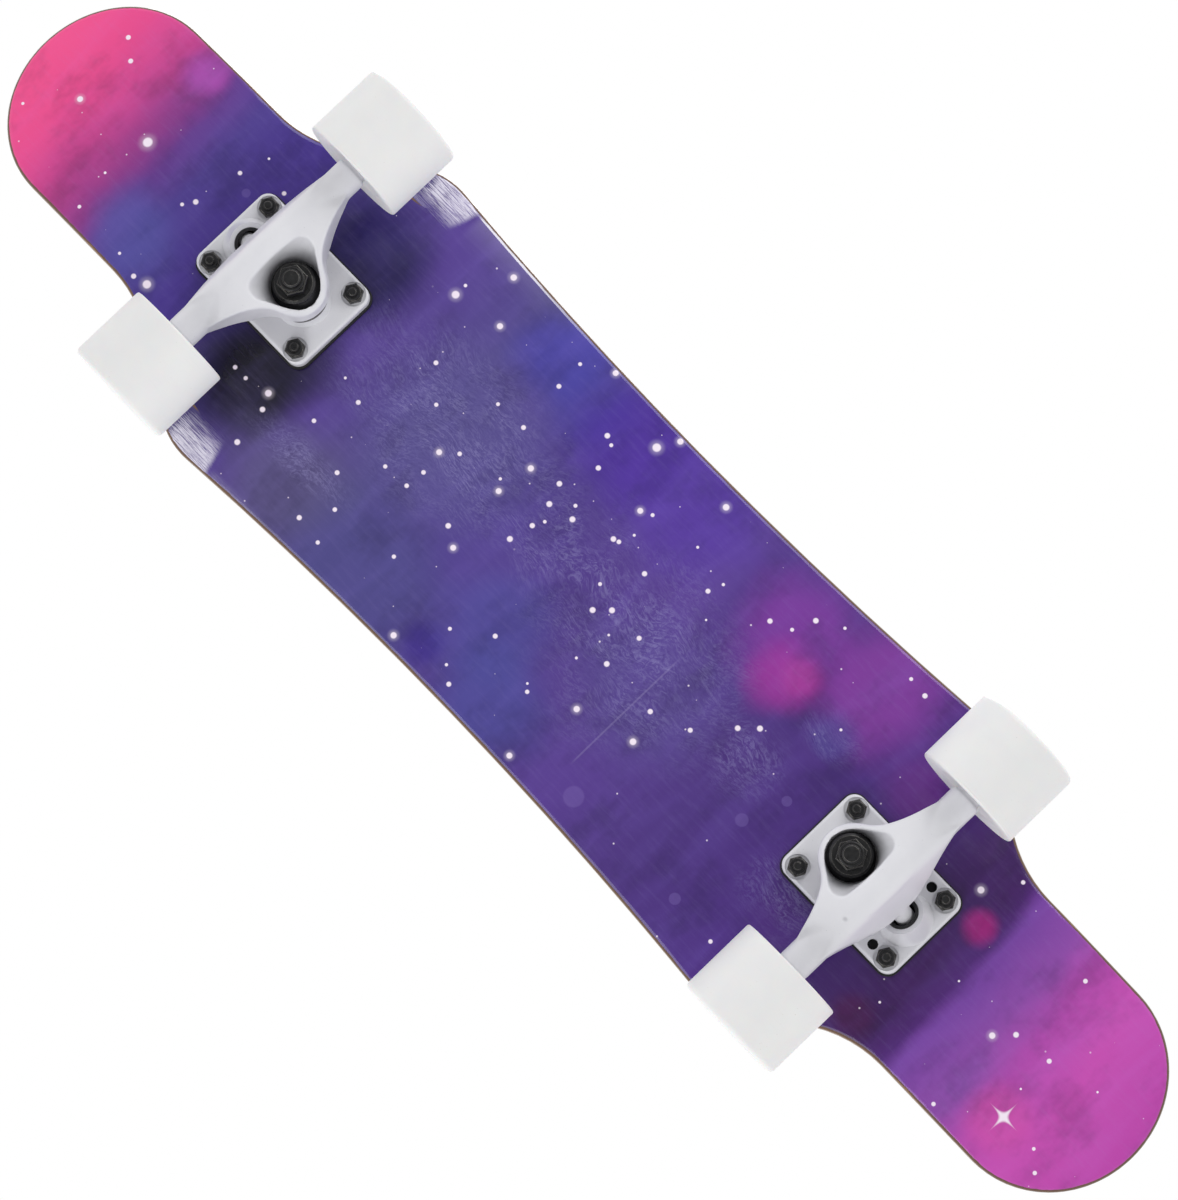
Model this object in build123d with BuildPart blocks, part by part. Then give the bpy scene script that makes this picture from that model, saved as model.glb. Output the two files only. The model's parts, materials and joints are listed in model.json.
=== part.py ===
from build123d import *
from math import atan2, cos, degrees, radians, sin
import os

# A cut-out skateboard deck on two traditional kingpin trucks, standing on its wheels.
# Origin: on the ground under the middle of the deck. +X runs along the deck to its front,
# +Y across it, +Z up. Sizes in mm, angles in degrees.

# ---------------------------------------------------------------- deck
deck_length = 812.0
deck_thickness = 10.0  # seven maple plies
shoulder_width = 202.0  # across the points where side curve and cut-out line would meet
waist_width = 185.0
neck_width = 119.0
shoulder_x = 200.0  # those points, from the middle of the deck
cutout_x = 265.0  # where the cut-out line reaches the neck
shoulder_round = 40.0
cutout_round = 70.0
tip_length = 56.0  # the half ellipse at each end
kick_start = 285.0  # where the kicks begin to bend up
kick_angle = 13.0
kick_radius = 150.0
flat_strip = 70.0  # flat middle of the concave
concave_radius = 400.0
bottom_edge_round = 3.0
top_edge_round = 1.5

# Wheel wells: shallow drum-shaped scoops under the shoulders, over the wheels.
well_depth = 5.5
well_drum_radius = 150.0
well_inner_y = 75.0
well_end_round = 8.0

grip_thickness = 0.8
grip_inset = 0.8  # bare line left round the edge

# ---------------------------------------------------------------- mounting hardware
wheelbase = 433.5  # between the middles of the two bolt patterns
bolt_spacing_x = 63.5
bolt_spacing_y = 41.3
spare_hole_offset = 9.5  # second pair of outboard holes in each baseplate
bolt_diameter = 4.8
bolt_hole_diameter = 5.5
bolt_head_diameter = 9.6
bolt_head_height = 2.7
bolt_head_rim = 0.3
bolt_end = 1.8  # thread showing past the nut
cross_recess_span = 5.2
cross_recess_width = 1.2
cross_recess_depth = 1.8
cross_recess_taper = 8.0
thread_chamfer = 0.5
hardware_nut_flats = 9.5
hardware_nut_hex = 4.0
hardware_nut_collar = 1.7
riser_thickness = 3.0
riser_margin = 1.0  # the pad shows round the baseplate by this much

# Shape shared by all the lock nuts.
nut_corner_chamfer = 0.4
nut_collar_share = 0.88  # collar, of the width across flats
nut_collar_round = 0.6

# ---------------------------------------------------------------- baseplate
plate_length = 80.0
plate_width = 55.0
plate_corner = 6.5
plate_thickness = 6.0
plate_edge_round = 1.8
nut_seat_diameter = 13.0
nut_seat_depth = 0.8
kingpin_inset = 15.4  # kingpin, inboard of the bolt pattern's middle
kingpin_boss_diameter = 30.0
kingpin_boss_height = 8.0
boss_taper = 8.0
weld_depth = 1.0  # how far a boss starts inside the plate it grows from
cut_overrun = 1.0  # how far a cut starts or ends outside the piece
pivot_offset = 24.5  # pivot ball, outboard of the bolt pattern's middle
pivot_depth = 13.0  # pivot ball's centre, below the mounting face
pivot_housing_base = 29.0
pivot_housing_diameter = 22.0

# ---------------------------------------------------------------- kingpin stack, top to bottom
kingpin_diameter = 9.5
kingpin_head_flats = 14.3
kingpin_head_height = 5.7
kingpin_end = 2.0  # thread showing past the nut
washer_thickness = 2.0
washer_lip = 2.0  # how far a cup washer's rim wraps its bushing
washer_wall = 1.2
bushing_diameter = 25.8
bushing_small_end = 17.4
bushing_rim = 1.0
boardside_bushing_height = 15.0
ring_web = 5.0
roadside_bushing_height = 10.5
kingpin_nut_flats = 14.3
kingpin_nut_hex = 6.0
kingpin_nut_collar = 2.2
kingpin_tip_chamfer = 0.8

# ---------------------------------------------------------------- hanger and axle
axle_drop = 53.0  # baseplate's mounting face down to the axle
axle_offset = 3.9  # axle, outboard of the bolt pattern's middle
axle_diameter = 8.0
axle_length = 203.0
hanger_width = 127.0
arm_diameter = 17.5
beam_diameter = 20.5  # at the middle
arm_straight = 14.0  # stretch of even thickness beside each wheel
arm_shoulder = 3.8  # reduced end of the arm, inside the wheel
arm_shoulder_diameter = 14.0
ring_diameter = 33.0
ring_wall = 3.3
ring_rim = 3.5  # how far the ring's rim stands up and down from its web
ring_hole = 16.0
pocket_corner_radius = 6.5  # the pocket opens from the ring's bore to a rounded triangle
pocket_corner_spread = 31.0  # between the two outboard corners
pocket_corner_inset = 8.0  # those corners, inboard of the bolt pattern's middle
pivot_ball_diameter = 11.0
pivot_neck_diameter = 10.0
pivot_neck_length = 9.0  # from the ball's centre to where the stem starts to thicken
pivot_root_diameter = 19.0

# The hanger's web, as offsets from the ring's centre, the axle and the pivot ball.
# In plan, one half: outboard, and off the middle line.
plan_from_ring = ((-16.1, 0.0), (-13.6, 9.4), (-8.1, 14.6), (-3.6, 17.5))
plan_from_axle_inboard = ((-16.9, 25.0), (-12.1, 36.0), (-7.9, 50.0))
plan_from_axle_outboard = ((7.6, 50.0), (10.1, 37.0), (12.9, 27.0))
plan_from_pivot = ((-4.7, 17.0), (-2.9, 8.0))
# From the side: outboard, and up.
underside_from_ring = ((-16.1, -4.0), (-9.6, -12.0))
underside_from_axle = ((-18.9, -2.5), (-7.9, -8.0), (0.6, -9.3))
back_from_axle = ((0.6, -9.3), (7.6, -6.0), (11.1, 1.0))
back_from_pivot = ((-5.0, -25.0), (-2.1, -14.7))
top_from_pivot = ((-10.9, -10.1), (-17.0, -18.0))
top_from_ring = ((14.4, 0.5), (-16.1, 4.5))
# From the front: off the middle line, and up.
crown_from_axle = ((50.0, 5.0), (34.0, 16.0), (21.0, 26.0))
crown_from_pivot = ((8.0, -7.0),)
belly_from_axle = ((50.0, -5.0), (34.0, -9.0), (15.0, -11.0))

# Rubber cup that the pivot ball turns in.
pivot_cup_diameter = 16.8
pivot_cup_mouth = 13.4
pivot_cup_reach = 6.2  # rim of the cup, beyond the ball's centre along the stem
pivot_cup_show = 0.5  # the rim stands out of its housing by this much
pivot_cup_floor = 1.0  # rubber behind the ball

# ---------------------------------------------------------------- wheels and bearings
wheel_diameter = 60.0
wheel_width = 43.6
wheel_inner_face = 60.0  # inner face of each wheel, from the middle of the board
inner_lip_round = 1.2
outer_lip_round = 3.0
side_land = 5.0  # flat of each side face next to the tread
side_face_dish = 1.0
outer_recess_diameter = 44.0
outer_recess_floor = 26.0
inner_recess_diameter = 36.0
inner_recess_floor = 25.0
core_bore = 18.0
speed_washer_thickness = 1.0
speed_washer_diameter = 12.0
bearing_diameter = 22.0
bearing_width = 7.0
bearing_spacing = 10.0  # spacer tube between the two bearings
ball_diameter = 3.97
ball_count = 7
ball_circle = 15.0
inner_ring_diameter = 12.2
outer_ring_bore = 17.8
cage_side = 0.5  # cage left beside each ball
cage_wall = 1.1
shield_thickness = 0.4
shield_inset = 0.15
spacer_diameter = 10.5
axle_nut_flats = 12.7
axle_nut_hex = 5.5
axle_nut_collar = 2.4
axle_end_chamfer = 0.8

# ---------------------------------------------------------------- clearances
seat_gap = 0.02  # between pieces that are fixed together
turn_gap = 0.05  # between pieces that turn on each other
shield_gap = 0.1  # between a shield and the ring that turns beside it
soft_gap = 0.3  # between a bushing and the casting that tilts on it
bolt_gap = 0.3  # round a head in its recess

# ---------------------------------------------------------------- heights and places
axle_z = wheel_diameter / 2
mount_z = axle_z + axle_drop
deck_bottom_z = mount_z + riser_thickness
deck_top_z = deck_bottom_z + deck_thickness
truck_x = wheelbase / 2

boss_z = -plate_thickness - kingpin_boss_height
boardside_washer_z = boss_z - washer_thickness
ring_top_z = boardside_washer_z - boardside_bushing_height
ring_z = ring_top_z - ring_web / 2
ring_bottom_z = ring_top_z - ring_web
roadside_washer_z = ring_bottom_z - roadside_bushing_height
kingpin_nut_z = roadside_washer_z - washer_thickness
kingpin_tip_z = kingpin_nut_z - kingpin_nut_hex - kingpin_nut_collar - kingpin_end

inner_bearing_y = hanger_width / 2 + speed_washer_thickness
outer_bearing_y = inner_bearing_y + bearing_width + bearing_spacing
bearing_end_y = outer_bearing_y + bearing_width
axle_nut_y = bearing_end_y + speed_washer_thickness
wheel_outer_face = wheel_inner_face + wheel_width

pivot_point = Vector(pivot_offset, 0, -pivot_depth)
beam_point = Vector(axle_offset, 0, -axle_drop)
stem_direction = (beam_point - pivot_point).normalized()
stem_plane = Plane(origin=pivot_point, x_dir=(0, 1, 0), z_dir=stem_direction)
stem_profile = Plane(origin=pivot_point, x_dir=(0, 1, 0), z_dir=Vector(0, 1, 0).cross(stem_direction))
stem_axis = Axis(pivot_point, stem_direction)
stem_length = (beam_point - pivot_point).length
axle_x = truck_x + axle_offset

# Each truck is made round the middle of its bolt pattern, on the mounting face, with +X outboard.
truck_places = {
    "front": Location((truck_x, 0, mount_z)),
    "rear": Location((-truck_x, 0, mount_z), (0, 0, 180)),
}
wheel_turns = {"left": 0, "right": 180}

os.makedirs("parts", exist_ok=True)


def save(piece, name, place=Location()):
    """Put a finished piece where it belongs and write it."""
    placed = piece.moved(place)
    placed.label = name
    export_step(placed, f"parts/{name}.step")


# How far the pressed sheet reaches past the deck's ends and sides before it is trimmed.
end_overrun = 20.0
side_overrun = 5.0

# Slope below which a trimmed face counts as a side, and above which it counts as a top or bottom.
side_slope = 0.3
flat_slope = 0.5


# ================================================================ deck
def outline(inset=0.0):
    """Plan of the deck: two elliptical tips, a narrow neck and a platform with curved sides."""
    neck = neck_width / 2 - inset
    half = deck_length / 2 - inset
    shoulder = shoulder_width / 2 - inset
    waist = waist_width / 2 - inset
    with BuildSketch() as plan:
        with BuildLine():
            ThreePointArc((-shoulder_x, shoulder), (0, waist), (shoulder_x, shoulder))
            ThreePointArc((-shoulder_x, -shoulder), (0, -waist), (shoulder_x, -shoulder))
            for side in (-1, 1):
                Polyline(
                    (side * shoulder_x, shoulder),
                    (side * cutout_x, neck),
                    (side * cutout_x, -neck),
                    (side * shoulder_x, -shoulder),
                )
        make_face()
        Rectangle(2 * (half - tip_length), 2 * neck)
        for side in (-1, 1):
            with Locations((side * (half - tip_length), 0)):
                Ellipse(tip_length, neck)
        corners = plan.vertices()
        outer = corners.filter_by(lambda corner: abs(corner.Y) > waist)
        fillet(outer, shoulder_round)
        notches = plan.vertices().filter_by(
            lambda corner: abs(abs(corner.X) - cutout_x) < 1 and abs(corner.Y) > neck / 2
        )
        fillet(notches, cutout_round)
    return plan.sketch


def press_line():
    """Line of the deck's top face along its middle: kick, flat, kick."""
    reach = deck_length / 2 + end_overrun
    bend = radians(kick_angle)
    bend_end = Vector(kick_start + kick_radius * sin(bend), deck_top_z + kick_radius * (1 - cos(bend)))
    rise = (reach - bend_end.X) * sin(bend) / cos(bend)
    middle = Vector(kick_start + kick_radius * sin(bend / 2), deck_top_z + kick_radius * (1 - cos(bend / 2)))
    with BuildLine(Plane.XZ) as line:
        Line((-reach, bend_end.Y + rise), (-bend_end.X, bend_end.Y))
        ThreePointArc((-bend_end.X, bend_end.Y), (-middle.X, middle.Y), (-kick_start, deck_top_z))
        Line((-kick_start, deck_top_z), (kick_start, deck_top_z))
        ThreePointArc((kick_start, deck_top_z), (middle.X, middle.Y), (bend_end.X, bend_end.Y))
        Line((bend_end.X, bend_end.Y), (reach, bend_end.Y + rise))
    return line.wires()[0]


def pressed_sheet(low, high):
    """Sheet of the pressed shape between two heights over the deck's top face."""
    path = press_line()
    flat = flat_strip / 2
    spread = degrees((shoulder_width / 2 + side_overrun - flat) / (concave_radius + deck_thickness))
    with BuildPart() as sheet:
        with BuildSketch(Plane(origin=path @ 0, x_dir=(0, 1, 0), z_dir=path % 0)):
            with BuildLine():
                Line((-flat, low), (flat, low))
                right_low = CenterArc((flat, concave_radius), concave_radius - low, -90, spread)
                right_high = CenterArc((flat, concave_radius), concave_radius - high, -90, spread)
                Line(right_low @ 1, right_high @ 1)
                Line((flat, high), (-flat, high))
                left_high = CenterArc((-flat, concave_radius), concave_radius - high, -90, -spread)
                left_low = CenterArc((-flat, concave_radius), concave_radius - low, -90, -spread)
                Line(left_high @ 1, left_low @ 1)
            make_face()
        sweep(path=path)
    return sheet.part


def edges_between(part, upward):
    """Edges where the trimmed sides meet the lower or upper face."""
    sides = part.faces().filter_by(lambda face: abs(face.normal_at().Z) < side_slope)
    if upward:
        flats = part.faces().filter_by(lambda face: face.normal_at().Z > flat_slope)
    else:
        flats = part.faces().filter_by(lambda face: face.normal_at().Z < -flat_slope)
    side_edges = sides.edges()
    return ShapeList(edge for edge in flats.edges() if edge in side_edges)


countersink_angle = 2 * degrees(
    atan2((bolt_head_diameter - bolt_diameter) / 2, bolt_head_height - bolt_head_rim)
)


def bolt_places():
    """Middles of the four bolts of each truck, seen from above."""
    return [
        (side * truck_x + dx * bolt_spacing_x / 2, dy * bolt_spacing_y / 2)
        for side in (-1, 1)
        for dx in (-1, 1)
        for dy in (-1, 1)
    ]


with BuildPart() as deck:
    add(pressed_sheet(-deck_thickness, 0))
    extrude(outline(), amount=2 * deck_top_z, mode=Mode.INTERSECT)
    fillet(edges_between(deck.part, upward=False), bottom_edge_round)
    fillet(edges_between(deck.part, upward=True), top_edge_round)
    for side_x in (-1, 1):
        for side_y in (-1, 1):
            drum_end = Plane(
                origin=(
                    side_x * (truck_x + axle_offset),
                    side_y * well_inner_y,
                    deck_bottom_z + well_depth - well_drum_radius,
                ),
                x_dir=(1, 0, 0),
                z_dir=(0, side_y, 0),
            )
            with BuildPart(mode=Mode.PRIVATE) as drum:
                with BuildSketch(drum_end):
                    Circle(well_drum_radius)
                extrude(amount=shoulder_width)
                near_end = drum.edges().sort_by(lambda edge: abs(edge.center().Y))[0]
                fillet(near_end, well_end_round)
            add(drum.part, mode=Mode.SUBTRACT)
    with Locations(Plane.XY.offset(deck_top_z)):
        with Locations(bolt_places()):
            CounterSinkHole(
                bolt_hole_diameter / 2,
                bolt_head_diameter / 2 + bolt_head_rim + bolt_gap / 2,
                depth=2 * deck_thickness,
                counter_sink_angle=countersink_angle,
            )
save(deck.part, "deck")

with BuildPart() as grip_tape:
    add(pressed_sheet(0, grip_thickness))
    extrude(outline(top_edge_round + grip_inset), amount=2 * deck_top_z, mode=Mode.INTERSECT)
    with Locations(Plane.XY.offset(deck_top_z + grip_thickness)):
        with Locations(bolt_places()):
            Hole(bolt_head_diameter / 2 + bolt_gap, depth=2 * grip_thickness)
save(grip_tape.part, "grip_tape")


# ================================================================ fasteners
def lock_nut(hexagon, flats, collar, bore, base):
    """Lock nut whose flat face lies on the base plane, with its nylon collar away from it."""
    with BuildPart() as nut:
        with BuildSketch(base):
            RegularPolygon(flats / 2, 6, major_radius=False)
        extrude(amount=hexagon)
        corners = nut.edges().filter_by(lambda edge: abs(edge.tangent_at(0.5).dot(base.z_dir)) < 0.5)
        chamfer(corners, nut_corner_chamfer)
        with BuildSketch(base.offset(hexagon)):
            Circle(flats * nut_collar_share / 2)
        extrude(amount=collar)
        fillet(nut.edges().sort_by(lambda edge: base.to_local_coords(edge.center()).Z)[-1], nut_collar_round)
        with BuildSketch(base.offset(-cut_overrun)):
            Circle(bore / 2)
        extrude(amount=hexagon + collar + 2 * cut_overrun, mode=Mode.SUBTRACT)
    return nut.part


def bolt_pattern():
    """Bolt middles of one truck, round its own bolt pattern."""
    return GridLocations(bolt_spacing_x, bolt_spacing_y, 2, 2)


bolt_top = riser_thickness + deck_thickness
bolt_bottom = -plate_thickness + nut_seat_depth - hardware_nut_hex - hardware_nut_collar - bolt_end

with BuildPart() as bolt:
    with BuildSketch(Plane.XZ):
        with BuildLine():
            Polyline(
                (0, bolt_bottom),
                (bolt_diameter / 2 - thread_chamfer, bolt_bottom),
                (bolt_diameter / 2, bolt_bottom + thread_chamfer),
                (bolt_diameter / 2, bolt_top - bolt_head_height),
                (bolt_head_diameter / 2, bolt_top - bolt_head_rim),
                (bolt_head_diameter / 2, bolt_top),
                (0, bolt_top),
                close=True,
            )
        make_face()
    revolve(axis=Axis.Z)
    with BuildSketch(Plane.XY.offset(bolt_top)):
        Rectangle(cross_recess_span, cross_recess_width)
        Rectangle(cross_recess_width, cross_recess_span)
    extrude(amount=-cross_recess_depth, taper=cross_recess_taper, mode=Mode.SUBTRACT)

with BuildPart() as mounting_bolts:
    with bolt_pattern():
        add(bolt.part)

hardware_nut = lock_nut(
    hardware_nut_hex,
    hardware_nut_flats,
    hardware_nut_collar,
    bolt_diameter + 2 * seat_gap,
    Plane(origin=(0, 0, nut_seat_depth - plate_thickness), z_dir=(0, 0, -1)),
)
with BuildPart() as mounting_nuts:
    with bolt_pattern():
        add(hardware_nut)

# ================================================================ riser pad and baseplate
with BuildPart() as riser_pad:
    with BuildSketch(Plane.XY):
        RectangleRounded(
            plate_length + 2 * riser_margin, plate_width + 2 * riser_margin, plate_corner + riser_margin
        )
        with bolt_pattern():
            Circle(bolt_hole_diameter / 2, mode=Mode.SUBTRACT)
    extrude(amount=riser_thickness)

housing_reach = pivot_cup_reach - pivot_cup_show
cup_end = pivot_ball_diameter / 2 + pivot_cup_floor
with BuildPart() as baseplate:
    with BuildSketch(Plane.XY.offset(-plate_thickness)):
        RectangleRounded(plate_length, plate_width, plate_corner)
    extrude(amount=plate_thickness)
    fillet(baseplate.faces().sort_by(Axis.Z)[0].edges(), plate_edge_round)
    with BuildSketch(Plane.XY.offset(weld_depth - plate_thickness)):
        with Locations((-kingpin_inset, 0)):
            Circle(kingpin_boss_diameter / 2)
    extrude(amount=-kingpin_boss_height - weld_depth, taper=boss_taper)
    with BuildSketch(stem_plane.offset(housing_reach)):
        Circle(pivot_housing_diameter / 2)
    with BuildSketch(Plane.XY.offset(weld_depth - plate_thickness)):
        with Locations((pivot_offset, 0)):
            Circle(pivot_housing_base / 2)
    loft()
    with BuildSketch(Plane.XY):
        Rectangle(2 * plate_length, 2 * plate_width)
    extrude(amount=plate_length, mode=Mode.SUBTRACT)
    with BuildSketch(stem_plane.offset(-cup_end)):
        Circle(pivot_cup_diameter / 2 + seat_gap)
    extrude(amount=plate_length, mode=Mode.SUBTRACT)
    with BuildSketch(Plane.XY.offset(-2 * plate_length)):
        with Locations((-kingpin_inset, 0)):
            Circle(kingpin_diameter / 2 + seat_gap)
        with bolt_pattern():
            Circle(bolt_hole_diameter / 2)
        with Locations((bolt_spacing_x / 2 - spare_hole_offset, 0)):
            with GridLocations(0, bolt_spacing_y, 1, 2):
                Circle(bolt_hole_diameter / 2)
    extrude(amount=4 * plate_length, mode=Mode.SUBTRACT)
    with BuildSketch(Plane.XY):
        with Locations((-kingpin_inset, 0)):
            RegularPolygon(kingpin_head_flats / 2 + bolt_gap, 6, major_radius=False)
    extrude(amount=-kingpin_head_height - bolt_gap, mode=Mode.SUBTRACT)
    with BuildSketch(Plane.XY.offset(-plate_thickness)):
        with bolt_pattern():
            Circle(nut_seat_diameter / 2)
    extrude(amount=nut_seat_depth, mode=Mode.SUBTRACT)

with BuildPart() as pivot_cup:
    ball = pivot_ball_diameter / 2 + turn_gap
    with BuildSketch(stem_profile):
        with BuildLine():
            Polyline(
                (ball, 0),
                (pivot_cup_mouth / 2, pivot_cup_reach),
                (pivot_cup_diameter / 2, pivot_cup_reach),
                (pivot_cup_diameter / 2, -cup_end),
                (0, -cup_end),
                (0, -ball),
            )
            ThreePointArc((0, -ball), (ball * sin(radians(45)), -ball * cos(radians(45))), (ball, 0))
        make_face()
    revolve(axis=stem_axis)

# ================================================================ kingpin stack
kingpin_place = Location((-kingpin_inset, 0, 0))

with BuildPart() as kingpin:
    with BuildSketch(Plane.XY.offset(-bolt_gap / 2)):
        RegularPolygon(kingpin_head_flats / 2, 6, major_radius=False)
    extrude(amount=-kingpin_head_height)
    with BuildSketch(Plane.XY.offset(kingpin_tip_z)):
        Circle(kingpin_diameter / 2)
    extrude(amount=-kingpin_tip_z - kingpin_head_height)
    chamfer(kingpin.edges().sort_by(Axis.Z)[0], kingpin_tip_chamfer)


def cup_washer(seat, lip_end, radius):
    """Dished washer: its flat back on the seat height, its rim round a bushing of that radius."""
    toward = 1 if lip_end > seat else -1
    outer = radius + seat_gap + washer_wall
    with BuildPart() as washer:
        with BuildSketch(Plane.XZ):
            with BuildLine():
                Polyline(
                    (kingpin_diameter / 2 + seat_gap, seat),
                    (outer - washer_wall, seat),
                    (outer, seat + toward * washer_wall),
                    (outer, lip_end),
                    (radius + seat_gap, lip_end),
                    (radius + seat_gap, seat + toward * washer_thickness),
                    (kingpin_diameter / 2 + seat_gap, seat + toward * washer_thickness),
                    close=True,
                )
            make_face()
        revolve(axis=Axis.Z)
    return washer.part


def bushing(low, high, low_radius, high_radius):
    """Rubber bushing with a softened rim at both ends."""
    with BuildPart() as rubber:
        with BuildSketch(Plane.XZ):
            with BuildLine():
                Polyline(
                    (kingpin_diameter / 2 + seat_gap, low),
                    (low_radius - bushing_rim, low),
                    (low_radius, low + bushing_rim),
                    (high_radius, high - bushing_rim),
                    (high_radius - bushing_rim, high),
                    (kingpin_diameter / 2 + seat_gap, high),
                    close=True,
                )
            make_face()
        revolve(axis=Axis.Z)
    return rubber.part


# The cone's side has widened a little by the height of the washer's lip.
roadside_lip_radius = bushing_small_end / 2 + (bushing_diameter - bushing_small_end) / 2 * (
    washer_lip / (roadside_bushing_height - soft_gap - 2 * bushing_rim)
)

boardside_washer = cup_washer(boss_z, boardside_washer_z - washer_lip, bushing_diameter / 2)
boardside_bushing = bushing(
    ring_top_z + soft_gap, boardside_washer_z, bushing_diameter / 2, bushing_diameter / 2
)
roadside_bushing = bushing(
    roadside_washer_z, ring_bottom_z - soft_gap, bushing_small_end / 2, bushing_diameter / 2
)
roadside_washer = cup_washer(kingpin_nut_z, roadside_washer_z + washer_lip, roadside_lip_radius)
kingpin_nut = lock_nut(
    kingpin_nut_hex,
    kingpin_nut_flats,
    kingpin_nut_collar,
    kingpin_diameter + 2 * seat_gap,
    Plane(origin=(0, 0, kingpin_nut_z), z_dir=(0, 0, -1)),
)

# ================================================================ hanger
arm_end = hanger_width / 2 - arm_shoulder
ring_height = ring_web + 2 * ring_rim
ring_bore = ring_diameter / 2 - ring_wall
ring_centre = Plane(origin=(-kingpin_inset, 0, ring_z))
pocket_floor_z = ring_z - ring_height / 2
pocket_mouth_z = -axle_drop - beam_diameter / 2 - cut_overrun


def offset_from(across, up, offsets):
    """Points that stand off an anchor."""
    return [(across + step_across, up + step_up) for step_across, step_up in offsets]


def other_side_in_plan(points):
    """Points seen from above, mirrored across the middle line, in reverse order."""
    return [(x, -y) for x, y in reversed(points)]


def other_side_in_front(points):
    """Points seen from the front, mirrored across the middle line, in reverse order."""
    return [(-y, z) for y, z in reversed(points)]


inboard_edge = offset_from(-kingpin_inset, 0, plan_from_ring) + offset_from(
    axle_offset, 0, plan_from_axle_inboard
)
outboard_edge = offset_from(axle_offset, 0, plan_from_axle_outboard) + offset_from(
    pivot_offset, 0, plan_from_pivot
)
underside = offset_from(-kingpin_inset, ring_z, underside_from_ring) + offset_from(
    axle_offset, -axle_drop, underside_from_axle
)
back = offset_from(axle_offset, -axle_drop, back_from_axle) + offset_from(
    pivot_offset, -pivot_depth, back_from_pivot
)
top = offset_from(pivot_offset, -pivot_depth, top_from_pivot) + offset_from(
    -kingpin_inset, ring_z, top_from_ring
)
crown = offset_from(0, -axle_drop, crown_from_axle) + offset_from(0, -pivot_depth, crown_from_pivot)
belly = offset_from(0, -axle_drop, belly_from_axle)

with BuildPart() as web:
    with BuildSketch(Plane.XY):
        with BuildLine():
            Spline(*other_side_in_plan(inboard_edge)[:-1], *inboard_edge)
            Line(inboard_edge[-1], outboard_edge[0])
            Spline(*outboard_edge)
            Line(outboard_edge[-1], other_side_in_plan(outboard_edge)[0])
            Spline(*other_side_in_plan(outboard_edge))
            Line(other_side_in_plan(outboard_edge)[-1], other_side_in_plan(inboard_edge)[0])
        make_face()
    extrude(amount=-2 * axle_drop)
    with BuildSketch(Plane.XZ):
        with BuildLine():
            Spline(*underside)
            Spline(*back)
            Line(back[-1], top[0])
            Spline(*top)
            Line(top[-1], underside[0])
        make_face()
    extrude(amount=hanger_width, both=True, mode=Mode.INTERSECT)
    with BuildSketch(Plane.YZ):
        with BuildLine():
            Spline(*crown)
            Line(crown[-1], other_side_in_front(crown)[0])
            Spline(*other_side_in_front(crown))
            Line(other_side_in_front(crown)[-1], other_side_in_front(belly)[-1])
            Spline(*other_side_in_front(belly)[::-1], *belly[::-1])
            Line(belly[0], crown[0])
        make_face()
    extrude(amount=hanger_width, both=True, mode=Mode.INTERSECT)

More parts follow.
